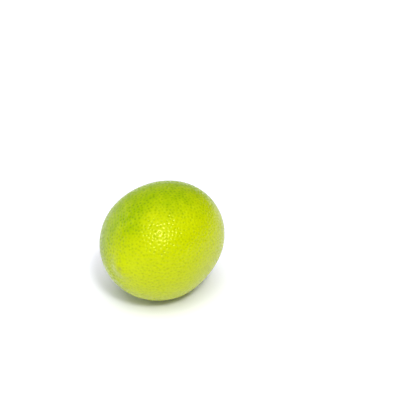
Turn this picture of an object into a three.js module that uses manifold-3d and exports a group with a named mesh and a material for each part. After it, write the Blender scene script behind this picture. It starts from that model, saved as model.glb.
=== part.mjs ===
// A whole lime, lying on its side with its axis level.
// Millimetres, +Z up. X runs along the fruit's axis, from the blossom end at -X to the stem end at +X.
// The origin is on the surface that the lime rests on, under the middle of the fruit.

import * as THREE from "three";
import { mergeVertices } from "three/addons/utils/BufferGeometryUtils.js";
import Module from "manifold-3d";

// The body: a slightly full oval, round about its axis but for two broad swellings.
const HALF_DIAMETER = 27;
const HALF_LENGTH = 31.5;
const FULLNESS = 2.1; // exponent of the outline: 2 is a plain ellipse, more is squarer
const AXIS_HEIGHT = 27.15; // from the surface up to the fruit's axis

// Each swelling adds `share` of the radius, `turns` times round the axis.
// It leans by `lean` radians from the middle of the fruit to either end.
const SWELLINGS = [
  { share: 0.0095, turns: 2, phase: 0, lean: 4.7 },
  { share: 0.011, turns: 3, phase: 2.3, lean: 0.15 },
];

// The stem end: a shallow hollow with creases that run out of it between the fruit's segments.
const HOLLOW_DEPTH = 2.3;
const HOLLOW_RADIUS = 5;
const CREASE_COUNT = 9;
const CREASE_DEPTH = 0.28;
const CREASE_RADIUS = 5.5;

// The blossom end: a low blunt nipple with a furrow round one side and a small scar on its tip.
const NIPPLE_HEIGHT = 1.7;
const NIPPLE_RADIUS = 4.8;
const FURROW_DEPTH = 0.4;
const FURROW_RADIUS = 7;
const FURROW_WIDTH = 2.4;
const FURROW_TURN = 2.2; // where round the axis the furrow is deepest, in radians from the top
const SCAR_DEPTH = 0.4;
const SCAR_RADIUS = 1.1;

// The stem button: a five-lobed calyx with the cut end of the stalk in its middle.
const LOBE_COUNT = 5;
const LOBE_SHARE = 0.16; // how far each lobe reaches out past the calyx's mean radius, as a share
const CALYX_RADIUS = 3.1;
const CALYX_EDGE = 0.4;
const CALYX_THICKNESS = 0.95;
const CALYX_SHOULDER = 0.75; // where the calyx starts to thin towards its edge, as a share of its radius
const STALK_RADIUS = 1.45;
const STALK_HEIGHT = 1.75;
const STALK_FLARE = 0.25;
const STALK_RIM = 0.6; // where the cut end starts to dip, as a share of the stalk's radius
const STALK_DIP = 0.35;
const SEAT_GAP = 0.3;

// How finely the surfaces are divided.
const FRUIT_SEGMENTS = 84;
const FRUIT_RINGS = 54;
const POLE_CROWDING = 0.35; // draws the rings towards both ends, where the small shapes are
const CALYX_SEGMENTS = 40;

const RIND = new THREE.MeshStandardMaterial({ color: 0xb4d411, roughness: 0.35, metalness: 0 });
const WOODY = new THREE.MeshStandardMaterial({ color: 0x9a8a4e, roughness: 0.8, metalness: 0 });

const wasm = await Module();
wasm.setup();

// A bell curve: 1 at the middle and nearly 0 at twice the width.
function bell(distance, width) {
  return Math.exp(-((distance / width) ** 2));
}

// How far the stem end sinks at a distance from the axis, `round` radians from the top.
function stemEndDepth(radius, round) {
  const reach = (radius / CREASE_RADIUS) ** 2;
  const creaseWeight = reach * Math.exp(1 - reach);
  const crease = 0.5 + 0.5 * Math.cos(CREASE_COUNT * round);
  return HOLLOW_DEPTH * bell(radius, HOLLOW_RADIUS) + CREASE_DEPTH * creaseWeight * crease;
}

// How far the blossom end stands out at a distance from the axis.
function blossomEndHeight(radius, round) {
  const furrowSide = 0.5 + 0.5 * Math.cos(round - FURROW_TURN);
  const furrow = FURROW_DEPTH * bell(radius - FURROW_RADIUS, FURROW_WIDTH) * furrowSide;
  return NIPPLE_HEIGHT * bell(radius, NIPPLE_RADIUS) - SCAR_DEPTH * bell(radius, SCAR_RADIUS) - furrow;
}

// The share that the swellings add to the radius. They fade out towards both ends.
function swelling(along, round) {
  let total = 0;
  for (const { share, turns, phase, lean } of SWELLINGS) {
    total += share * Math.cos(turns * round + phase + lean * Math.cos(along));
  }
  return total * Math.sin(along) ** 2;
}

// A point of the rind. `along` is 0 at the stem end and PI at the blossom end.
function rindPoint(along, round) {
  const endwise = Math.cos(along);
  const sideways = Math.sin(along);
  const size = (Math.abs(endwise) ** FULLNESS + sideways ** FULLNESS) ** (-1 / FULLNESS);
  const radius = HALF_DIAMETER * sideways * size * (1 + swelling(along, round));
  let x = HALF_LENGTH * endwise * size;
  if (endwise > 0) {
    x -= stemEndDepth(radius, round);
  } else {
    x -= blossomEndHeight(radius, round);
  }
  return new THREE.Vector3(x, radius * Math.sin(round), radius * Math.cos(round));
}

// The height of the stem end's surface along X at a distance from the axis.
function stemSurface(radius, round) {
  const share = Math.min(radius / HALF_DIAMETER, 1);
  const x = HALF_LENGTH * (1 - share ** FULLNESS) ** (1 / FULLNESS);
  return x - stemEndDepth(radius, round);
}

// A geometry as one closed mesh, whose neighbouring faces share their vertices.
function joined(geometry) {
  geometry.deleteAttribute("normal");
  geometry.deleteAttribute("uv");
  return mergeVertices(geometry);
}

// Moves every vertex of a geometry by a rule.
function reshaped(geometry, rule) {
  const closed = joined(geometry);
  const places = closed.getAttribute("position");
  const vertex = new THREE.Vector3();
  for (let i = 0; i < places.count; i++) {
    const moved = rule(vertex.fromBufferAttribute(places, i));
    places.setXYZ(i, moved.x, moved.y, moved.z);
  }
  return closed;
}

function solidOf(geometry) {
  return new wasm.Manifold(
    new wasm.Mesh({
      numProp: 3,
      vertProperties: geometry.getAttribute("position").array,
      triVerts: new Uint32Array(geometry.index.array),
    }),
  );
}

function geometryOf(solid) {
  const mesh = solid.getMesh();
  const geometry = new THREE.BufferGeometry();
  geometry.setAttribute("position", new THREE.BufferAttribute(mesh.vertProperties, 3));
  geometry.setIndex(new THREE.BufferAttribute(mesh.triVerts, 1));
  geometry.computeVertexNormals();
  return geometry;
}

// The body of the lime with its two ends, before the flat spot is cut.
function rindGeometry() {
  const ball = new THREE.SphereGeometry(1, FRUIT_SEGMENTS, FRUIT_RINGS);
  return reshaped(ball, (vertex) => {
    const even = Math.acos(THREE.MathUtils.clamp(vertex.y, -1, 1));
    const along = even - (POLE_CROWDING / 2) * Math.sin(2 * even);
    return rindPoint(along, Math.atan2(vertex.z, vertex.x));
  });
}

// A block whose top face is the surface that the lime rests on, seen from the fruit's axis.
function restBlock() {
  const block = new THREE.BoxGeometry(HALF_DIAMETER, HALF_DIAMETER, HALF_DIAMETER);
  block.translate(0, 0, -AXIS_HEIGHT - HALF_DIAMETER / 2);
  return joined(block);
}

function makeFruit() {
  const solid = solidOf(rindGeometry()).subtract(solidOf(restBlock()));
  const fruit = new THREE.Mesh(geometryOf(solid), RIND);
  fruit.name = "fruit";
  return fruit;
}

// The button's section, from its seat up to the stalk's end.
// Each point is a distance from the axis and a height above the seat.
function buttonSection() {
  return [
    new THREE.Vector2(0, 0),
    new THREE.Vector2(STALK_RADIUS, 0),
    new THREE.Vector2(CALYX_SHOULDER * CALYX_RADIUS, 0),
    new THREE.Vector2(CALYX_RADIUS, 0),
    new THREE.Vector2(CALYX_RADIUS, CALYX_EDGE),
    new THREE.Vector2(CALYX_SHOULDER * CALYX_RADIUS, CALYX_THICKNESS),
    new THREE.Vector2(STALK_RADIUS + STALK_FLARE, CALYX_THICKNESS),
    new THREE.Vector2(STALK_RADIUS, STALK_HEIGHT),
    new THREE.Vector2(STALK_RIM * STALK_RADIUS, STALK_HEIGHT),
    new THREE.Vector2(0, STALK_HEIGHT - STALK_DIP),
  ];
}

function makeStemButton() {
  const turned = new THREE.LatheGeometry(buttonSection(), CALYX_SEGMENTS);
  const geometry = reshaped(turned, (vertex) => {
    const evenRadius = Math.hypot(vertex.x, vertex.z);
    const round = Math.atan2(vertex.z, vertex.x);
    const lobe = 1 + LOBE_SHARE * Math.cos(LOBE_COUNT * round) * (evenRadius / CALYX_RADIUS) ** 3;
    const radius = evenRadius * lobe;
    const x = stemSurface(radius, round) + SEAT_GAP + vertex.y;
    return new THREE.Vector3(x, radius * Math.sin(round), radius * Math.cos(round));
  });
  geometry.computeVertexNormals();
  const button = new THREE.Mesh(geometry, WOODY);
  button.name = "stem_button";
  return button;
}

const lime = new THREE.Group();
lime.add(makeFruit(), makeStemButton());
const middle = new THREE.Box3().setFromObject(lime).getCenter(new THREE.Vector3());
lime.position.set(-middle.x, -middle.y, AXIS_HEIGHT);

export default lime;
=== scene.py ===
"""A whole lime with its stem button, dressed for a soft studio picture.

The fruit's own sizes are in millimetres, and everything that Blender holds is in metres.
X runs along the fruit's axis from the blossom end to the stem end, and Z points up.
"""

import logging
import math
from dataclasses import dataclass
from enum import Enum

import bpy
import numpy as np
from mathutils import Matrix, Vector


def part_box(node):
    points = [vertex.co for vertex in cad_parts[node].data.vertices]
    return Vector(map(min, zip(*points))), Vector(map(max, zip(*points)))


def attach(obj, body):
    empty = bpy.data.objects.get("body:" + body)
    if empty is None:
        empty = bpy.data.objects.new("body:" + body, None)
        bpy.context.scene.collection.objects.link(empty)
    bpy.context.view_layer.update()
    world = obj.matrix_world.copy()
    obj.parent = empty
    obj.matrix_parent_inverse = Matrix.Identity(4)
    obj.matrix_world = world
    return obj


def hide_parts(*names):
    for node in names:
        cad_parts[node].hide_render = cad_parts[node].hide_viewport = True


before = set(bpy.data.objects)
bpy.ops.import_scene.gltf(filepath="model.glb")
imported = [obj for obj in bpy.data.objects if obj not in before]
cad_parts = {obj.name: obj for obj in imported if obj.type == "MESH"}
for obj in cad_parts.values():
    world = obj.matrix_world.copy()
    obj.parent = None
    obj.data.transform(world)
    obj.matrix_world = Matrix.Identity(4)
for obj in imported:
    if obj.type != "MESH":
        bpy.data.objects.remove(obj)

MM = 0.001
PICTURE = 400.0  # the picture's width and height, in pixels
Colour = tuple[float, float, float, float]
Face = tuple[int, ...]
Pair = tuple[float, float]
Triple = tuple[float, float, float]
WHITE: Colour = (1.0, 1.0, 1.0, 1.0)
TIPWARD: Triple = (-1.0, 0.0, 0.0)  # towards the blossom end
log = logging.getLogger("lime")


def bell(distance: np.ndarray, width: float) -> np.ndarray:
    """A bell curve: 1 in the middle, about a third at the width and nearly 0 at twice that."""
    return np.exp(-((distance / width) ** 2))


def eased(value: np.ndarray, start: float, end: float) -> np.ndarray:
    """A smooth step up: 0 up to the start and 1 from the end on."""
    share = np.clip((value - start) / (end - start), 0.0, 1.0)
    return share * share * (3.0 - 2.0 * share)


def faded(value: np.ndarray, start: float, end: float) -> np.ndarray:
    """A smooth step down: 1 up to the start and 0 from the end on."""
    return eased(-value, -end, -start)


def linear(level: float) -> float:
    """Turns a screen value from 0 to 255 into linear light from 0 to 1, by the sRGB curve."""
    share = level / 255.0
    return ((share + 0.055) / 1.055) ** 2.4 if share > 0.04045 else share / 12.92


def shade(red: float, green: float, blue: float) -> Colour:
    """Turns three screen values from 0 to 255 into Blender's linear colour."""
    return linear(red), linear(green), linear(blue), 1.0


def ball_grid(cells: int) -> tuple[np.ndarray, np.ndarray]:
    """A ball made of six bowed square grids, which meet edge to edge and have no poles.

    Args:
        cells: How many cells each grid has along a side.

    Returns:
        The unit direction of each corner, and the four corners of each cell.
    """
    side = cells + 1
    first, second = np.meshgrid(np.arange(side), np.arange(side), indexing="ij")
    cube_sides = []
    for axis in range(3):
        for level in (0, cells):
            lattice = np.empty((side, side, 3), int)
            lattice[..., axis] = level
            lattice[..., (axis + 1) % 3] = first
            lattice[..., (axis + 2) % 3] = second
            keys = lattice @ np.array([side * side, side, 1])
            quads = np.stack([keys[:-1, :-1], keys[1:, :-1], keys[1:, 1:], keys[:-1, 1:]], -1)
            quads = quads.reshape(-1, 4)
            cube_sides.append(quads if level else quads[:, ::-1])
    keys, corners = np.unique(np.concatenate(cube_sides), return_inverse=True)
    lattice = np.stack([keys // side**2, keys // side % side, keys % side], -1)
    directions = np.tan((lattice / cells - 0.5) * math.pi / 2)
    directions /= np.linalg.norm(directions, axis=1, keepdims=True)
    return directions, corners.reshape(-1, 4)


def mesh_object(name: str, points: np.ndarray, faces: list[Face]) -> bpy.types.Object:
    """Makes a smooth mesh object in the scene.

    Args:
        name: The piece's name.
        points: Its corners, in metres.
        faces: The corners of each face.

    Returns:
        The new object, at the origin.
    """
    mesh = bpy.data.meshes.new(name)
    mesh.from_pydata(points.tolist(), [], faces)
    mesh.shade_smooth()
    made = bpy.data.objects.new(name, mesh)
    bpy.context.scene.collection.objects.link(made)
    return made


def give_attribute(made: bpy.types.Object, name: str, values: np.ndarray) -> None:
    """Stores one number for each corner of an object's mesh, under a name."""
    layer = made.data.attributes.new(name, "FLOAT", "POINT")
    layer.data.foreach_set("value", np.asarray(values, np.float32))


class Nodes:
    """Adds and joins the nodes of one tree."""

    def __init__(self, tree: bpy.types.NodeTree) -> None:
        """Takes an empty tree."""
        self.tree = tree

    def add(self, kind: str, **settings: object) -> bpy.types.Node:
        """Adds a node.

        Args:
            kind: Blender's name for the kind of node.
            settings: Properties of the node to set.

        Returns:
            The new node.
        """
        node = self.tree.nodes.new(kind)
        for name, value in settings.items():
            setattr(node, name, value)
        return node

    def feed(self, socket: bpy.types.NodeSocket, value: object) -> None:
        """Gives an input its value, or joins it to another node's output.

        Args:
            socket: The input.
            value: A plain value or an output socket.
        """
        if isinstance(value, bpy.types.NodeSocket):
            self.tree.links.new(value, socket)
        else:
            socket.default_value = value

    def sum(self, operation: str, *values: object) -> bpy.types.NodeSocket:
        """Does arithmetic on numbers.

        Args:
            operation: Blender's name for the sum.
            values: Numbers or output sockets.

        Returns:
            The output that holds the result.
        """
        node = self.add("ShaderNodeMath", operation=operation)
        for socket, value in zip(node.inputs, values):
            self.feed(socket, value)
        return node.outputs[0]

    def times(self, first: object, second: object) -> bpy.types.NodeSocket:
        """Multiplies two numbers."""
        return self.sum("MULTIPLY", first, second)

    def vector(self, operation: str, *values: object) -> bpy.types.Node:
        """Does arithmetic on vectors.

        Args:
            operation: Blender's name for the sum.
            values: Vectors or output sockets.

        Returns:
            The node.
        """
        node = self.add("ShaderNodeVectorMath", operation=operation)
        for socket, value in zip(node.inputs, values):
            self.feed(socket, value)
        return node

    def step(
        self, value: object, start: float, end: float, low: object = 0.0, high: object = 1.0
    ) -> bpy.types.NodeSocket:
        """A smooth step from one value to another.

        Args:
            value: The number to place on the step.
            start: Where the step begins.
            end: Where the step ends.
            low: The result at the start.
            high: The result at the end.

        Returns:
            The output that holds the result.
        """
        node = self.add("ShaderNodeMapRange", interpolation_type="SMOOTHSTEP")
        names = ("Value", "From Min", "From Max", "To Min", "To Max")
        for name, given in zip(names, (value, start, end, low, high)):
            self.feed(node.inputs[name], given)
        return node.outputs["Result"]

    def blend(self, share: object, first: object, second: object) -> bpy.types.NodeSocket:
        """Blends two colours.

        Args:
            share: How much of the second colour is taken.
            first: The first colour.
            second: The second colour.

        Returns:
            The output that holds the colour.
        """
        node = self.add("ShaderNodeMix", data_type="RGBA")
        self.feed(node.inputs["Factor"], share)
        self.feed(node.inputs["A"], first)
        self.feed(node.inputs["B"], second)
        return node.outputs["Result"]

    def cloud(
        self, place: object, size_mm: float, detail: float, roughness: float = 0.5
    ) -> bpy.types.NodeSocket:
        """Soft noise from 0 to 1.

        Args:
            place: The coordinates to read, in metres.
            size_mm: The size of its clouds, in millimetres.
            detail: How many finer layers it holds.
            roughness: How strong those layers are.

        Returns:
            The output that holds the noise.
        """
        node = self.add("ShaderNodeTexNoise")
        self.feed(node.inputs["Vector"], place)
        self.feed(node.inputs["Scale"], 1.0 / (size_mm * MM))
        self.feed(node.inputs["Detail"], detail)
        self.feed(node.inputs["Roughness"], roughness)
        return node.outputs[0]


class Finish:
    """A material in the making, with its Principled shader and the piece's own coordinates."""

    def __init__(self, name: str) -> None:
        """Makes a material of this name that holds only its shader."""
        self.material = bpy.data.materials.new(name)
        self.material.use_nodes = True
        self.material.node_tree.nodes.clear()
        self.nodes = Nodes(self.material.node_tree)
        self.shader = self.nodes.add("ShaderNodeBsdfPrincipled")
        self.place = self.nodes.add("ShaderNodeTexCoord").outputs["Object"]
        output = self.nodes.add("ShaderNodeOutputMaterial")
        self.nodes.feed(output.inputs["Surface"], self.shader.outputs["BSDF"])

    def attribute(self, name: str) -> bpy.types.NodeSocket:
        """The output that reads one of the mesh's own numbers."""
        return self.nodes.add("ShaderNodeAttribute", attribute_name=name).outputs["Fac"]

    def set(self, **inputs: object) -> None:
        """Sets inputs of the Principled shader, whose names have underscores for spaces."""
        for name, value in inputs.items():
            self.nodes.feed(self.shader.inputs[name.replace("_", " ")], value)

    def bump(self, height: object, depth_mm: float) -> bpy.types.NodeSocket:
        """Fine relief that is too small for the mesh.

        Args:
            height: The output that holds the height, from 0 to 1.
            depth_mm: The relief's depth, in millimetres.

        Returns:
            The output that holds the normal.
        """
        node = self.nodes.add("ShaderNodeBump")
        self.nodes.feed(node.inputs["Strength"], 1.0)
        self.nodes.feed(node.inputs["Distance"], depth_mm * MM)
        self.nodes.feed(node.inputs["Height"], height)
        return node.outputs["Normal"]


@dataclass(frozen=True)
class RindFinish:
    """The waxy green skin, yellower at the front and greener on top: partly own colour, partly painted
    light.

    Sizes are in millimetres. A span holds the two values that a smooth step runs between.
    A strength is the greatest share that one colour takes of another.

    Attributes:
        green: The greener, darker top and back: partly the skin's own green, partly painted shade.
        yellow: The yellower, lighter front and underside: partly the skin's own yellow, partly painted
            light.
        pale: The thin skin between the oil glands and round the blossom end.
        deep: Dark green for the grain and the glands, and painted shade in the dimples and the hollow.
        scar: The dry scar at the blossom end.
        yellow_and_painted_lit_side: The direction in which the skin turns yellow and lighter, partly as
            painted light.
        yellow_and_painted_lit_span: The values of that measure between which green turns yellow.
        patch_size: The size of the broad patches along the border of the sunny side.
        patch_strength: How far they shift that border.
        fleck_size: The size of the pale flecks.
        fleck_span: The noise values between which a fleck shows.
        fleck_strength: How pale a fleck is.
        tip_span: The nearness to the blossom end between which the skin grows pale.
        tip_strength: How pale the blossom end is.
        grain_size: The size of the fine grain.
        grain_depth: The depth of its relief.
        grain_span: The noise values between which a dark grain shows.
        grain_strength: How dark a grain is.
        gland_span: The shares of a dimple's depth between which its dark green and painted shade come in.
        gland_painted_shade_span: The values of the yellow side's measure between which the glands' painted
            shade fades.
        gland_and_painted_shade_strengths: How dark a gland and its painted shade are on the green and on
            the yellow side.
        hollow_painted_shade: How dark the painted shade is in the hollow of the stem end.
        gloss_span: The noise values between which the wax grows duller.
        gloss: The roughness of the brightest and of the dullest wax.
        refraction: The wax's index of refraction.
        reflection: The tint of what the wax mirrors head-on.
        glow: How much light spreads under the skin.
        glow_colours: How far red, green and blue spread, as shares of the glow's reach.
        glow_reach: How far the light spreads.
    """

    green: Colour = shade(139, 166, 0)
    yellow: Colour = shade(176, 188, 0)
    pale: Colour = shade(186, 200, 10)
    deep: Colour = shade(80, 118, 0)
    scar: Colour = shade(158, 168, 40)
    yellow_and_painted_lit_side: Triple = (-0.3, -0.9, -0.31)
    yellow_and_painted_lit_span: Pair = (-0.25, 0.55)
    patch_size: float = 18.0
    patch_strength: float = 1.25
    fleck_size: float = 3.2
    fleck_span: Pair = (0.35, 0.75)
    fleck_strength: float = 0.3
    tip_span: Pair = (0.86, 1.0)
    tip_strength: float = 0.5
    grain_size: float = 0.8
    grain_depth: float = 0.03
    grain_span: Pair = (0.5, 0.75)
    grain_strength: float = 0.2
    gland_span: Pair = (0.12, 0.85)
    gland_painted_shade_span: Pair = (-0.4, 0.6)
    gland_and_painted_shade_strengths: Pair = (0.76, 0.28)
    hollow_painted_shade: float = 0.45
    gloss_span: Pair = (0.2, 0.8)
    gloss: Pair = (0.18, 0.23)
    refraction: float = 1.45
    reflection: Colour = (1.0, 1.0, 0.26, 1.0)
    glow: float = 0.12
    glow_colours: Triple = (1.0, 0.8, 0.15)
    glow_reach: float = 1.5

    def material(self, middle: Vector) -> bpy.types.Material:
        """Builds the material.

        Args:
            middle: The middle of the fruit, in metres.

        Returns:
            The rind's material.
        """
        finish = Finish("rind")
        n = finish.nodes
        outward_from_middle = n.vector("SUBTRACT", finish.place, tuple(middle)).outputs["Vector"]
        unit = n.vector("NORMALIZE", outward_from_middle).outputs["Vector"]
        # Yellow, lighter front and green, darker top: own colours, partly painted light and shade.
        facing = n.vector("DOT_PRODUCT", unit, self.yellow_and_painted_lit_side).outputs["Value"]
        tipward = n.vector("DOT_PRODUCT", unit, TIPWARD).outputs["Value"]
        patches = n.sum("SUBTRACT", n.cloud(finish.place, self.patch_size, 3.0), 0.5)
        # sun: how far a point lies on the yellow side that holds painted light, shifted by broad patches.
        sun = n.sum("ADD", facing, n.times(patches, self.patch_strength))
        flecks = n.cloud(finish.place, self.fleck_size, 3.0)
        grain = n.cloud(finish.place, self.grain_size, 4.0, 0.6)
        fleck = n.step(flecks, *self.fleck_span, 0.0, self.fleck_strength)
        tip = n.step(tipward, *self.tip_span, 0.0, self.tip_strength)
        dark_grain = n.step(grain, *self.grain_span, 0.0, self.grain_strength)
        gland = n.step(finish.attribute("gland"), *self.gland_span)
        # oil: the glands' own darker green plus painted shade in their dimples, stronger on the green top.
        oil = n.times(gland, n.step(sun, *self.gland_painted_shade_span, *self.gland_and_painted_shade_strengths))
        # Painted shade in the hollow of the stem end.
        hollow = n.times(finish.attribute("hollow"), self.hollow_painted_shade)
        colour = n.blend(n.step(sun, *self.yellow_and_painted_lit_span), self.green, self.yellow)
        for share, layer in (
            (fleck, self.pale),
            (tip, self.pale),
            (dark_grain, self.deep),
            (oil, self.deep),
            (hollow, self.deep),
            (finish.attribute("scar"), self.scar),
        ):
            colour = n.blend(share, colour, layer)
        finish.set(Base_Color=colour, Normal=finish.bump(grain, self.grain_depth))
        finish.set(Roughness=n.step(flecks, *self.gloss_span, *self.gloss))
        finish.set(IOR=self.refraction, Specular_Tint=self.reflection)
        finish.set(Subsurface_Weight=self.glow, Subsurface_Radius=self.glow_colours)
        finish.set(Subsurface_Scale=self.glow_reach * MM)
        return finish.material


@dataclass(frozen=True)
class CalyxFinish:
    """Dry leathery sepals round a woody stalk.

    Attributes:
        tan: The flat of a sepal.
        olive: The fold between two sepals.
        brown: The dry edge, the fibres and the cracks.
        wood: The cut end of the stalk.
        fibre_size: The size of the fibres, in millimetres.
        fibre_depth: The depth of their relief, in millimetres.
        fibre_span: The noise values between which a fibre shows.
        fibre_strength: The greatest share of brown in a fibre.
        roughness: How dull the whole button is.
    """

    tan: Colour = shade(158, 142, 76)
    olive: Colour = shade(112, 128, 40)
    brown: Colour = shade(98, 70, 34)
    wood: Colour = shade(206, 186, 128)
    fibre_size: float = 0.5
    fibre_depth: float = 0.08
    fibre_span: Pair = (0.35, 0.75)
    fibre_strength: float = 0.65
    roughness: float = 0.78

    def material(self) -> bpy.types.Material:
        """Builds the material of the whole button."""
        finish = Finish("dry_calyx")
        n = finish.nodes
        fibres = n.cloud(finish.place, self.fibre_size, 4.0, 0.65)
        fibre = n.step(fibres, *self.fibre_span, 0.0, self.fibre_strength)
        colour = n.blend(finish.attribute("fold"), self.tan, self.olive)
        for share, layer in (
            (fibre, self.brown),
            (finish.attribute("edge"), self.brown),
            (finish.attribute("cut"), self.wood),
            (finish.attribute("vessel"), self.brown),
        ):
            colour = n.blend(share, colour, layer)
        finish.set(Base_Color=colour, Normal=finish.bump(fibres, self.fibre_depth))
        finish.set(Roughness=self.roughness)
        return finish.material


@dataclass(frozen=True)
class FloorFinish:
    """Plain pale paper.

    Attributes:
        white: Its colour.
        roughness: How dull it is.
        mirror: How strongly it mirrors.
    """

    white: Colour = (0.9, 0.9, 0.96, 1.0)
    roughness: float = 0.6
    mirror: float = 0.2

    def material(self) -> bpy.types.Material:
        """Builds the floor's material."""
        finish = Finish("pale_floor")
        finish.set(Base_Color=self.white, Roughness=self.roughness, Specular_IOR_Level=self.mirror)
        return finish.material


@dataclass(frozen=True)
class Swelling:
    """A broad swelling that runs along the fruit.

    Attributes:
        share: What it adds to the radius, as a share.
        turns: How often it comes round the axis.
        phase: Its turn at the middle of the fruit, in radians.
        lean: How far it turns between the middle and an end, in radians.
    """

    share: float
    turns: int
    phase: float
    lean: float


@dataclass(frozen=True)
class Fruit:
    """The lime's body with its rind, as one piece.

    Sizes are in millimetres. The width of a form with a bell-shaped section is where it has
    fallen to about a third.

    Attributes:
        half_diameter: Half the fruit's diameter without its swellings.
        half_length: Half its length without the forms of its two ends.
        fullness: The exponent of its outline, where 2 is a plain ellipse and more is squarer.
        axis_height: From the surface that it rests on up to its axis.
        swellings: Its broad swellings.
        hollow_depth: Depth of the hollow at the stem end.
        hollow_radius: Width of the hollow.
        crease_count: How many creases run out of the hollow.
        crease_depth: Their depth.
        crease_radius: How far from the axis they are deepest.
        nipple_height: Height of the nipple at the blossom end.
        nipple_radius: Width of the nipple.
        furrow_depth: Depth of the furrow round the nipple.
        furrow_radius: How far the furrow lies from the axis.
        furrow_width: Width of the furrow.
        furrow_turn: Where it is deepest, in radians about the axis from the top.
        scar_depth: Depth of the scar on the nipple.
        scar_radius: Width of the scar.
        gland_spacing: The least distance between two oil glands.
        gland_width: Width of a gland's dimple.
        gland_depth: Depth of a dimple of full vigour.
        gland_vigour: The least and the greatest depth of a dimple, as shares of that depth.
        gland_seed: Seed of the glands' scattering.
        ripple_size: Length of the slight ripple between the glands.
        ripple_depth: Its depth.
        seat_fade: How far from the axis the glands start and end to fade in round the button.
        rest_fade: The height over the flat spot at which the glands have faded in.
        cells: How many cells each of the surface's six grids has along a side.
        measuring_cells: The same for the coarse copy that finds the fruit's middle.
    """

    half_diameter: float = 27.0
    half_length: float = 31.5
    fullness: float = 2.1
    axis_height: float = 27.15
    swellings: tuple[Swelling, ...] = (Swelling(0.0095, 2, 0.0, 4.7), Swelling(0.011, 3, 2.3, 0.15))
    hollow_depth: float = 2.3
    hollow_radius: float = 5.0
    crease_count: int = 9
    crease_depth: float = 0.28
    crease_radius: float = 5.5
    nipple_height: float = 1.7
    nipple_radius: float = 4.8
    furrow_depth: float = 0.4
    furrow_radius: float = 7.0
    furrow_width: float = 2.4
    furrow_turn: float = 2.2
    scar_depth: float = 0.4
    scar_radius: float = 1.1
    gland_spacing: float = 1.4
    gland_width: float = 0.52
    gland_depth: float = 0.34
    gland_vigour: Pair = (0.55, 1.15)
    gland_seed: int = 7
    ripple_size: float = 4.0
    ripple_depth: float = 0.06
    seat_fade: Pair = (2.5, 5.0)
    rest_fade: float = 0.25
    cells: int = 125
    measuring_cells: int = 60

    def stem_end_depth(self, radius: np.ndarray, turn: np.ndarray) -> np.ndarray:
        """How far the stem end sinks.

        Args:
            radius: Distance from the axis, in millimetres.
            turn: Turn about the axis from the top, in radians.

        Returns:
            The depth, in millimetres.
        """
        reach = (radius / self.crease_radius) ** 2
        crease = 0.5 + 0.5 * np.cos(self.crease_count * turn)
        hollow = self.hollow_depth * bell(radius, self.hollow_radius)
        return hollow + self.crease_depth * reach * np.exp(1.0 - reach) * crease

    def blossom_end_height(self, radius: np.ndarray, turn: np.ndarray) -> np.ndarray:
        """How far the blossom end stands out.

        Args:
            radius: Distance from the axis, in millimetres.
            turn: Turn about the axis from the top, in radians.

        Returns:
            The height, in millimetres.
        """
        side = 0.5 + 0.5 * np.cos(turn - self.furrow_turn)
        furrow = self.furrow_depth * bell(radius - self.furrow_radius, self.furrow_width) * side
        nipple = self.nipple_height * bell(radius, self.nipple_radius)
        return nipple - self.scar_depth * bell(radius, self.scar_radius) - furrow

    def surface(self, directions: np.ndarray) -> tuple[np.ndarray, np.ndarray]:
        """The rind's smooth surface, about the fruit's own middle.

        Args:
            directions: Unit directions from the middle.

        Returns:
            The points in millimetres, and their distances from the axis.
        """
        endwise = directions[:, 0]
        sideways = np.hypot(directions[:, 1], directions[:, 2])
        turn = np.arctan2(directions[:, 1], directions[:, 2])
        size = (np.abs(endwise) ** self.fullness + sideways**self.fullness) ** (-1.0 / self.fullness)
        girth = np.ones(len(directions))
        for s in self.swellings:
            girth += s.share * sideways**2 * np.cos(s.turns * turn + s.phase + s.lean * endwise)
        radius = self.half_diameter * sideways * size * girth
        sunk = self.stem_end_depth(radius, turn)
        raised = self.blossom_end_height(radius, turn)
        x = self.half_length * endwise * size - np.where(endwise > 0, sunk, raised)
        return np.stack([x, radius * np.sin(turn), radius * np.cos(turn)], 1), radius

    def stem_surface(self, radius: np.ndarray, turn: np.ndarray) -> np.ndarray:
        """Where the stem end's surface lies along the axis.

        Args:
            radius: Distance from the axis, in millimetres.
            turn: Turn about the axis from the top, in radians.

        Returns:
            The place along X from the fruit's middle, in millimetres.
        """
        share = radius / self.half_diameter
        end = self.half_length * (1.0 - share**self.fullness) ** (1.0 / self.fullness)
        return end - self.stem_end_depth(radius, turn)

    def middle(self) -> Vector:
        """Finds the middle of the fruit's axis from the box of its solid.

        Returns:
            The middle in the shared frame, in metres.
        """
        low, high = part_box("fruit")
        points, _ = self.surface(ball_grid(self.measuring_cells)[0])
        own = (points.min(0) + points.max(0)) / 2 * MM
        x = (low.x + high.x) / 2 - own[0]
        y = (low.y + high.y) / 2 - own[1]
        return Vector((x, y, self.axis_height * MM))

    def gland_sizes(self) -> dict[str, float]:
        """The values of the gland tree's named inputs, with lengths in metres."""
        return {
            "Spacing": self.gland_spacing * MM,
            "Width": self.gland_width * MM,
            "Depth": self.gland_depth * MM,
            "Least Vigour": self.gland_vigour[0],
            "Greatest Vigour": self.gland_vigour[1],
            "Ripple Size": self.ripple_size * MM,
            "Ripple Depth": self.ripple_depth * MM,
        }

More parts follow.
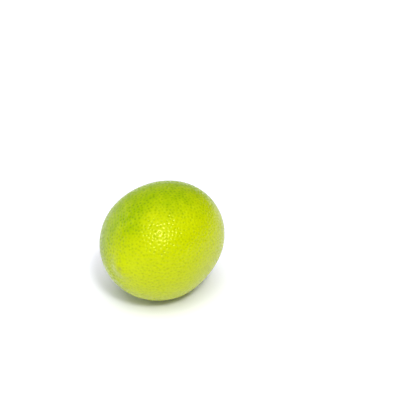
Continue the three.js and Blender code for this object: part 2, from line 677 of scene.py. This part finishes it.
    def dimples(self, n: Nodes, given: bpy.types.NodeOutputs) -> bpy.types.NodeSocket:
        """Scatters the oil glands and measures the dimple that each presses into the rind.

        Args:
            n: The gland tree's nodes.
            given: The tree's own inputs.

        Returns:
            The output that holds the depth at each corner, as a share of a full dimple.
        """
        scatter = n.add("GeometryNodeDistributePointsOnFaces", distribute_method="POISSON")
        crowding = n.sum("DIVIDE", 4.0, n.times(given["Spacing"], given["Spacing"]))
        n.feed(scatter.inputs["Mesh"], given["Rind"])
        n.feed(scatter.inputs["Distance Min"], given["Spacing"])
        n.feed(scatter.inputs["Density Max"], crowding)
        n.feed(scatter.inputs["Seed"], given["Seed"])
        near = n.add("GeometryNodeProximity", target_element="POINTS")
        n.feed(near.inputs[0], scatter.outputs["Points"])
        closest = n.add("GeometryNodeSampleNearest", domain="POINT")
        n.feed(closest.inputs["Geometry"], scatter.outputs["Points"])
        chance = n.add("FunctionNodeRandomValue", data_type="FLOAT")
        n.feed(chance.inputs[2], given["Least Vigour"])
        n.feed(chance.inputs[3], given["Greatest Vigour"])
        vigour = n.add("GeometryNodeSampleIndex", data_type="FLOAT", domain="POINT")
        n.feed(vigour.inputs["Geometry"], scatter.outputs["Points"])
        n.feed(vigour.inputs["Value"], chance.outputs[1])
        n.feed(vigour.inputs["Index"], closest.outputs["Index"])
        ratio = n.sum("DIVIDE", near.outputs["Distance"], given["Width"])
        dimple = n.sum("EXPONENT", n.times(n.times(ratio, ratio), -1.0))
        return n.times(dimple, vigour.outputs[0])

    def gland_tree(self, material: bpy.types.Material) -> bpy.types.NodeTree:
        """Geometry nodes that press a dimple into the rind at each of thousands of scattered glands.

        Args:
            material: The rind's material.

        Returns:
            The node tree.
        """
        tree = bpy.data.node_groups.new("oil_glands", "GeometryNodeTree")
        tree.interface.new_socket("Rind", in_out="OUTPUT", socket_type="NodeSocketGeometry")
        tree.interface.new_socket("Rind", in_out="INPUT", socket_type="NodeSocketGeometry")
        for name in self.gland_sizes():
            tree.interface.new_socket(name, in_out="INPUT", socket_type="NodeSocketFloat")
        tree.interface.new_socket("Seed", in_out="INPUT", socket_type="NodeSocketInt")
        n = Nodes(tree)
        given = n.add("NodeGroupInput").outputs
        relief_field = n.add("GeometryNodeInputNamedAttribute", data_type="FLOAT")
        n.feed(relief_field.inputs["Name"], "relief")
        relief = relief_field.outputs["Attribute"]
        gland = n.times(self.dimples(n, given), relief)
        noise = n.add("ShaderNodeTexNoise")
        n.feed(noise.inputs["Scale"], n.sum("DIVIDE", 1.0, given["Ripple Size"]))
        n.feed(noise.inputs["Detail"], 1.0)
        ripple = n.times(n.times(noise.outputs[0], given["Ripple Depth"]), relief)
        sunk = n.sum("ADD", n.times(gland, given["Depth"]), ripple)
        shift = n.vector("SCALE", n.add("GeometryNodeInputNormal").outputs[0])
        n.feed(shift.inputs["Scale"], n.times(sunk, -1.0))
        pressed = n.add("GeometryNodeSetPosition")
        n.feed(pressed.inputs["Geometry"], given["Rind"])
        n.feed(pressed.inputs["Offset"], shift.outputs["Vector"])
        store = n.add("GeometryNodeStoreNamedAttribute", data_type="FLOAT", domain="POINT")
        n.feed(store.inputs["Geometry"], pressed.outputs["Geometry"])
        n.feed(store.inputs["Name"], "gland")
        n.feed(store.inputs["Value"], gland)
        real = n.add("GeometryNodeRealizeInstances")
        n.feed(real.inputs["Geometry"], store.outputs["Geometry"])
        dress = n.add("GeometryNodeSetMaterial")
        n.feed(dress.inputs["Geometry"], real.outputs["Geometry"])
        n.feed(dress.inputs["Material"], material)
        n.feed(n.add("NodeGroupOutput").inputs["Rind"], dress.outputs["Geometry"])
        return tree

    def press_glands(self, made: bpy.types.Object, material: bpy.types.Material) -> None:
        """Runs the gland tree on the rind and keeps its result as a plain mesh.

        Args:
            made: The rind's object.
            material: The rind's material.
        """
        tree = self.gland_tree(material)
        modifier = made.modifiers.new("oil_glands", "NODES")
        modifier.node_group = tree
        values = {**self.gland_sizes(), "Seed": self.gland_seed}
        for item in tree.interface.items_tree:
            if item.in_out == "INPUT" and item.name in values:
                modifier[item.identifier] = values[item.name]
        graph = bpy.context.evaluated_depsgraph_get()
        pressed = made.evaluated_get(graph)
        mesh = bpy.data.meshes.new_from_object(pressed, preserve_all_data_layers=True, depsgraph=graph)
        made.modifiers.clear()
        made.data = mesh
        made.data.shade_smooth()

    def build(self, middle: Vector) -> bpy.types.Object:
        """Builds and dresses the fruit.

        Args:
            middle: The middle of the fruit, in metres.

        Returns:
            The finished piece.
        """
        directions, faces = ball_grid(self.cells)
        points, radius = self.surface(directions)
        above_rest = points[:, 2] + self.axis_height
        points[above_rest < 0.0, 2] = -self.axis_height
        made = mesh_object("lime_fruit", points * MM + np.array(middle), faces.tolist())
        stem_side = directions[:, 0] > 0
        scar = np.where(stem_side, 0.0, bell(radius, self.scar_radius))
        # Mask for the painted shade in the hollow round the stem end.
        hollow = np.where(stem_side, bell(radius, self.hollow_radius), 0.0)
        seat = np.where(stem_side, 1.0 - eased(radius, *self.seat_fade), 0.0)
        relief = eased(above_rest, 0.0, self.rest_fade) * (1.0 - scar) * (1.0 - seat)
        give_attribute(made, "scar", scar)
        give_attribute(made, "hollow", hollow)
        give_attribute(made, "relief", relief)
        self.press_glands(made, RindFinish().material(middle))
        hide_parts("fruit")
        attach(made, "root")
        return made


@dataclass(frozen=True)
class Wave:
    """A wave that runs round an axis.

    Attributes:
        share: Its height, as a share of a radius.
        turns: How often it comes round the axis.
        phase: Its turn, in radians.
    """

    share: float
    turns: int
    phase: float

    def at(self, turn: np.ndarray) -> np.ndarray:
        """The wave's height at each turn about the axis."""
        return self.share * np.cos(self.turns * turn + self.phase)


@dataclass(frozen=True)
class StemButton:
    """The dry calyx with the cut end of the stalk.

    Sizes are in millimetres. A span holds the two values that a smooth step runs between. It
    is in shares of the calyx's radius, or of the stalk's for the cracks.

    Attributes:
        lobes: How many sepals it has.
        lobe_share: How far a sepal reaches past the mean radius, as a share.
        uneven: The waves that make the sepals uneven.
        radius: The calyx's mean radius.
        edge: Its thickness at the edge.
        thickness: Its thickness near the stalk.
        thinning_span: Where the calyx thins towards its edge.
        stalk_radius: Radius of the stalk.
        stalk_height: Height of its cut end over the seat.
        stalk_pit: How far the middle of the cut end dips.
        pit_width: Width of that dip, as a share of the stalk's radius.
        stalk_slope: How far the stalk's side reaches in and out from its radius.
        seat_gap: How far over the rind the calyx's own thickness starts.
        sepal_span: Where the sepals' own forms begin.
        fibre_height: Height of the fibres along a sepal.
        rib_height: Height of the rib in its middle.
        rib_lobe: The values of the lobes' wave between which the rib rises.
        rib_end: Where the rib ends.
        tip_curl: How far a sepal's tip curls up.
        curl_span: Where it starts to curl.
        under_curl: The share of that curl which its underside follows.
        rounding: How far the edge is rounded off, as a share of its thickness.
        rounding_span: Where the edge is rounded.
        crack_depth: Depth of the three cracks in the cut end.
        crack_width: Their width, as the sine of 1.5 times the turn past a crack's middle.
        crack_wander: How far they wander, in radians.
        crack_start: Where they start, near the middle of the stalk.
        crack_end: Where they end, near its rim.
        rings: How many rings of corners each side has.
        segments: How many corners each ring has.
        fold_lobe: The values of the lobes' wave between which a fold fades.
        edge_span: Where the dry edge begins.
        bark: Width of the bark round the cut end.
        vessel_ring: The mean radius of the ring of vessels, as a share of the stalk's.
        vessel_waves: The waves in that ring.
        vessel: The strength and the width of that ring's colour.
        pith: The strength and the width of the pith's colour.
        crack_tint: The strength of the cracks' colour.
    """

    lobes: int = 5
    lobe_share: float = 0.16
    uneven: tuple[Wave, ...] = (Wave(0.035, 1, 1.0), Wave(0.025, 2, 2.3))
    radius: float = 3.1
    edge: float = 0.4
    thickness: float = 0.95
    thinning_span: Pair = (0.55, 1.0)
    stalk_radius: float = 1.45
    stalk_height: float = 1.75
    stalk_pit: float = 0.35
    pit_width: float = 0.6
    stalk_slope: Pair = (0.12, 0.2)
    seat_gap: float = 0.3
    sepal_span: Pair = (0.5, 0.75)
    fibre_height: float = 0.045
    rib_height: float = 0.14
    rib_lobe: Pair = (0.7, 1.0)
    rib_end: Pair = (0.75, 0.97)
    tip_curl: float = 0.3
    curl_span: Pair = (0.75, 1.0)
    under_curl: float = 0.8
    rounding: float = 0.7
    rounding_span: Pair = (0.93, 1.0)
    crack_depth: float = 0.14
    crack_width: float = 0.14
    crack_wander: float = 0.1
    crack_start: Pair = (0.1, 0.4)
    crack_end: Pair = (0.8, 0.95)
    rings: int = 44
    segments: int = 160
    fold_lobe: Pair = (-1.0, 0.4)
    edge_span: Pair = (0.86, 1.0)
    bark: float = 0.3
    vessel_ring: float = 0.62
    vessel_waves: tuple[Wave, ...] = (Wave(0.05, 3, 0.0), Wave(0.03, 7, 1.0))
    vessel: Pair = (0.45, 0.1)
    pith: Pair = (0.6, 0.2)
    crack_tint: float = 0.6

    def outline(self, share: np.ndarray, turn: np.ndarray) -> np.ndarray:
        """How far each corner lies from the axis, with five lobes of uneven size.

        Args:
            share: Distance from the axis as a share of the calyx's radius.
            turn: Turn about the axis from the top, in radians.

        Returns:
            The distance from the axis, in millimetres.
        """
        lobe = np.cos(self.lobes * turn)
        uneven = sum(wave.at(turn) for wave in self.uneven)
        return self.radius * share * (1.0 + self.lobe_share * lobe * share**3 + uneven * share**2)

    def height(self, share: np.ndarray) -> np.ndarray:
        """The button's smooth height over its seat.

        Args:
            share: Distance from the axis as a share of the calyx's radius.

        Returns:
            The height, in millimetres.
        """
        radius = share * self.radius
        calyx = self.thickness - (self.thickness - self.edge) * eased(share, *self.thinning_span)
        inner, outer = self.stalk_slope
        stalk = faded(radius, self.stalk_radius - inner, self.stalk_radius + outer)
        pit = self.stalk_pit * bell(radius, self.pit_width * self.stalk_radius)
        return calyx + (self.stalk_height - calyx) * stalk - pit * stalk

    def crack(self, share: np.ndarray, turn: np.ndarray) -> np.ndarray:
        """Three drying cracks in the cut end of the stalk.

        Args:
            share: Distance from the axis as a share of the calyx's radius.
            turn: Turn about the axis from the top, in radians.

        Returns:
            1 in the middle of a crack and 0 beside it.
        """
        radius = share * self.radius / self.stalk_radius
        wander = self.crack_wander * np.sin(5.0 * radius)
        length = eased(radius, *self.crack_start) * faded(radius, *self.crack_end)
        return bell(np.sin(1.5 * (turn + wander) - 1.0), self.crack_width) * length

    def relief(self, share: np.ndarray, turn: np.ndarray) -> np.ndarray:
        """The ribs, fibres, rounded edge and cracks on the upper side.

        Args:
            share: Distance from the axis as a share of the calyx's radius.
            turn: Turn about the axis from the top, in radians.

        Returns:
            What they add to the height, in millimetres.
        """
        lobe = np.cos(self.lobes * turn)
        sepal = eased(share, *self.sepal_span)
        fibres = self.fibre_height * np.cos(7 * self.lobes * turn + 2.0 * share) * sepal
        rib = self.rib_height * eased(lobe, *self.rib_lobe) * sepal * faded(share, *self.rib_end)
        rounded = self.edge * self.rounding * eased(share, *self.rounding_span)
        return fibres + rib - rounded - self.crack_depth * self.crack(share, turn)

    def tints(self, share: np.ndarray, turn: np.ndarray) -> dict[str, np.ndarray]:
        """Where the button's colours lie.

        Args:
            share: Distance from the axis as a share of the calyx's radius.
            turn: Turn about the axis from the top, in radians.

        Returns:
            The share of each colour at each corner.
        """
        radius = share * self.radius
        lobe = np.cos(self.lobes * turn)
        cut = faded(radius, self.stalk_radius - self.bark, self.stalk_radius)
        ring = self.stalk_radius * (self.vessel_ring + sum(wave.at(turn) for wave in self.vessel_waves))
        strength, width = self.vessel
        pith_strength, pith_width = self.pith
        vessel = strength * bell(radius - ring, width) + pith_strength * bell(radius, pith_width)
        return {
            "fold": faded(lobe, *self.fold_lobe) * (1.0 - cut),
            "edge": eased(share, *self.edge_span),
            "cut": cut,
            "vessel": np.maximum(vessel, self.crack_tint * self.crack(share, turn)),
        }

    def side_faces(self, start: int, tip: int) -> list[Face]:
        """The faces of the upper or lower side, all turned towards the fruit.

        Args:
            start: The first corner of the side.
            tip: The corner on the axis.

        Returns:
            The corners of each face.
        """
        made: list[Face] = []
        for j in range(self.segments):
            k = (j + 1) % self.segments
            made.append((tip, start + j, start + k))
            for i in range(self.rings - 1):
                near = start + i * self.segments
                far = near + self.segments
                made.append((near + j, far + j, far + k, near + k))
        return made

    def rim_faces(self, count: int) -> list[Face]:
        """The faces round the edge, from the upper side to the lower.

        Args:
            count: How many corners each side has.

        Returns:
            The corners of each face.
        """
        upper = count - self.segments
        lower = upper + count
        made: list[Face] = []
        for j in range(self.segments):
            k = (j + 1) % self.segments
            made.append((upper + k, lower + k, lower + j, upper + j))
        return made

    def build(self, fruit: Fruit, middle: Vector) -> bpy.types.Object:
        """Builds and dresses the button on its seat in the stem end.

        Args:
            fruit: The fruit that it sits on.
            middle: The middle of the fruit, in metres.

        Returns:
            The finished piece.
        """
        shares = np.linspace(0.0, 1.0, self.rings + 1)[1:]
        turns = np.linspace(0.0, 2.0 * math.pi, self.segments, endpoint=False)
        share, turn = np.meshgrid(shares, turns, indexing="ij")
        radius = self.outline(share, turn)
        seat = fruit.stem_surface(radius, turn)
        lobe = np.cos(self.lobes * turn)
        curl = self.tip_curl * eased(share, *self.curl_span) * eased(lobe, 0.0, 1.0)
        top = seat + self.seat_gap + self.height(share) + self.relief(share, turn) + curl
        under = seat + self.under_curl * curl
        y, z = radius * np.sin(turn), radius * np.cos(turn)
        sides = [np.stack([x, y, z], -1).reshape(-1, 3) for x in (top, under)]
        centre = fruit.stem_surface(np.zeros(1), np.zeros(1))[0]
        crown = centre + self.seat_gap + self.height(np.zeros(1))[0]
        tips = np.array([[crown, 0.0, 0.0], [centre, 0.0, 0.0]])
        count = self.rings * self.segments
        faces = [face[::-1] for face in self.side_faces(0, 2 * count)]
        faces += self.side_faces(count, 2 * count + 1) + self.rim_faces(count)
        corners = np.concatenate([*sides, tips]) * MM + np.array(middle)
        made = mesh_object("stem_button_piece", corners, faces)
        for name, values in self.tints(share, turn).items():
            give_attribute(made, name, np.concatenate([values.ravel(), values.ravel(), [values[0, 0]] * 2]))
        made.data.materials.append(CalyxFinish().material())
        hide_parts("stem_button")
        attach(made, "root")
        return made


@dataclass(frozen=True)
class Light:
    """One soft round light, far enough away to light the whole floor evenly.

    Attributes:
        turn: Where it stands, in degrees round from the front.
        height: Its height above the horizon, in degrees.
        width: How wide it looks from the fruit, in degrees.
        strength: Its strength, in watts per square metre.
        mirrored: Whether glossy surfaces mirror it.
    """

    turn: float
    height: float
    width: float
    strength: float
    mirrored: bool


class Lamp(Enum):
    """The studio's lights. The key light makes the glint, and the left one the film on that edge."""

    KEY = Light(-38.5, 47.0, 11.0, 1.55, True)
    FRONT = Light(-50.0, 46.0, 60.0, 0.85, False)
    TOP = Light(-55.0, 78.0, 70.0, 2.25, False)
    LEFT = Light(-172.0, 16.0, 44.0, 0.38, True)


def outward(turn: float, height: float) -> Vector:
    """The direction from the object to something that stands round it.

    Args:
        turn: Degrees round from the front, where -Y is 0 and +X is 90.
        height: Degrees above the horizon.

    Returns:
        The unit direction.
    """
    a, e = math.radians(turn), math.radians(height)
    return Vector((math.sin(a) * math.cos(e), -math.cos(a) * math.cos(e), math.sin(e)))


@dataclass(frozen=True)
class Studio:
    """The floor, lights, backdrop and camera.

    Attributes:
        camera_turn: Where the camera stands, in degrees round from the front.
        camera_height: Its height above the horizon, in degrees.
        lens: Its focal length, in millimetres.
        sensor: Its sensor's width, in millimetres.
        clip: The nearest and farthest distance that it sees, in metres.
        lime_pixel: Where the middle of the fruit lies in the picture.
        pixels_per_mm: The scale of the picture at the fruit's middle.
        floor_half: Half the floor's width, in metres.
        wall_glow: The light of the surroundings near the horizon, at the camera's left.
        shaded_wall: Their light near the horizon at the camera's right.
        wall_span: How far to the right the one turns into the other, as shares of a radius.
        ceiling_glow: Their light overhead.
        ceiling_span: How far up the walls' light turns into it, as shares of a radius.
    """

    camera_turn: float = -53.8
    camera_height: float = 29.1
    lens: float = 100.0
    sensor: float = 36.0
    clip: Pair = (0.01, 100.0)
    lime_pixel: Pair = (162.1, 238.8)
    pixels_per_mm: float = 2.144
    floor_half: float = 8.0
    wall_glow: float = 0.42
    shaded_wall: float = 0.03
    wall_span: Pair = (-0.2, 0.6)
    ceiling_glow: float = 0.1
    ceiling_span: Pair = (0.2, 0.7)

    def camera(self, middle: Vector) -> None:
        """Places the camera so that the fruit lies where it does in the picture.

        Args:
            middle: The middle of the fruit, in metres.
        """
        data = bpy.data.cameras.new("camera")
        data.lens = self.lens
        data.sensor_width = self.sensor
        data.clip_start, data.clip_end = self.clip
        made = bpy.data.objects.new("camera", data)
        bpy.context.scene.collection.objects.link(made)
        back = outward(self.camera_turn, self.camera_height)
        right = outward(self.camera_turn + 90.0, 0.0)
        up = back.cross(right)
        distance = self.lens / self.sensor * PICTURE / self.pixels_per_mm * MM
        across = (PICTURE / 2 - self.lime_pixel[0]) / self.pixels_per_mm * MM
        upward = (self.lime_pixel[1] - PICTURE / 2) / self.pixels_per_mm * MM
        target = middle + right * across + up * upward
        made.location = middle + back * distance
        made.rotation_mode = "QUATERNION"
        made.rotation_quaternion = (target - made.location).to_track_quat("-Z", "Y")
        bpy.context.scene.camera = made

    def lamp(self, lamp: Lamp) -> None:
        """Adds one light.

        Args:
            lamp: Which light.
        """
        light = lamp.value
        data = bpy.data.lights.new(lamp.name.lower(), "SUN")
        data.angle = math.radians(light.width)
        data.energy = light.strength
        made = bpy.data.objects.new(data.name, data)
        bpy.context.scene.collection.objects.link(made)
        made.visible_glossy = light.mirrored
        made.location = outward(light.turn, light.height)
        made.rotation_mode = "QUATERNION"
        made.rotation_quaternion = (-made.location).to_track_quat("-Z", "Y")

    def floor(self) -> None:
        """Lays the floor under the fruit."""
        h = self.floor_half
        corners = np.array([[-h, -h, 0.0], [h, -h, 0.0], [h, h, 0.0], [-h, h, 0.0]])
        made = mesh_object("floor", corners, [(0, 1, 2, 3)])
        made.data.materials.append(FloorFinish().material())

    def backdrop(self) -> None:
        """Surrounds the scene with white, which the camera sees brighter than it lights."""
        world = bpy.data.worlds.new("white")
        world.use_nodes = True
        world.node_tree.nodes.clear()
        n = Nodes(world.node_tree)
        direction = n.add("ShaderNodeTexCoord").outputs["Generated"]
        parts = n.add("ShaderNodeSeparateXYZ")
        n.feed(parts.inputs[0], direction)
        right = tuple(outward(self.camera_turn + 90.0, 0.0))
        rightward = n.vector("DOT_PRODUCT", direction, right).outputs["Value"]
        wall = n.step(rightward, *self.wall_span, self.wall_glow, self.shaded_wall)
        lit = n.step(parts.outputs["Z"], *self.ceiling_span, wall, self.ceiling_glow)
        seen = n.add("ShaderNodeLightPath").outputs["Is Camera Ray"]
        sky = n.add("ShaderNodeBackground")
        n.feed(sky.inputs["Color"], WHITE)
        n.feed(sky.inputs["Strength"], n.step(seen, 0.0, 1.0, lit, 1.0))
        n.feed(n.add("ShaderNodeOutputWorld").inputs["Surface"], sky.outputs["Background"])
        bpy.context.scene.world = world

    def build(self, middle: Vector) -> None:
        """Sets the whole studio up.

        Args:
            middle: The middle of the fruit, in metres.
        """
        bpy.context.scene.view_settings.view_transform = "Standard"
        self.camera(middle)
        self.floor()
        self.backdrop()
        for lamp in Lamp:
            self.lamp(lamp)


def report(made: bpy.types.Object) -> None:
    """Logs a piece's name and how many corners and faces it has."""
    log.info("%s: %d corners, %d faces", made.name, len(made.data.vertices), len(made.data.polygons))


def main() -> None:
    """Builds the studio, the fruit and its stem button."""
    logging.basicConfig(level=logging.INFO, format="%(name)s: %(message)s")
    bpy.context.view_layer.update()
    fruit = Fruit()
    middle = fruit.middle()
    Studio().build(middle)
    report(fruit.build(middle))
    report(StemButton().build(fruit, middle))


if __name__ == "__main__":
    main()
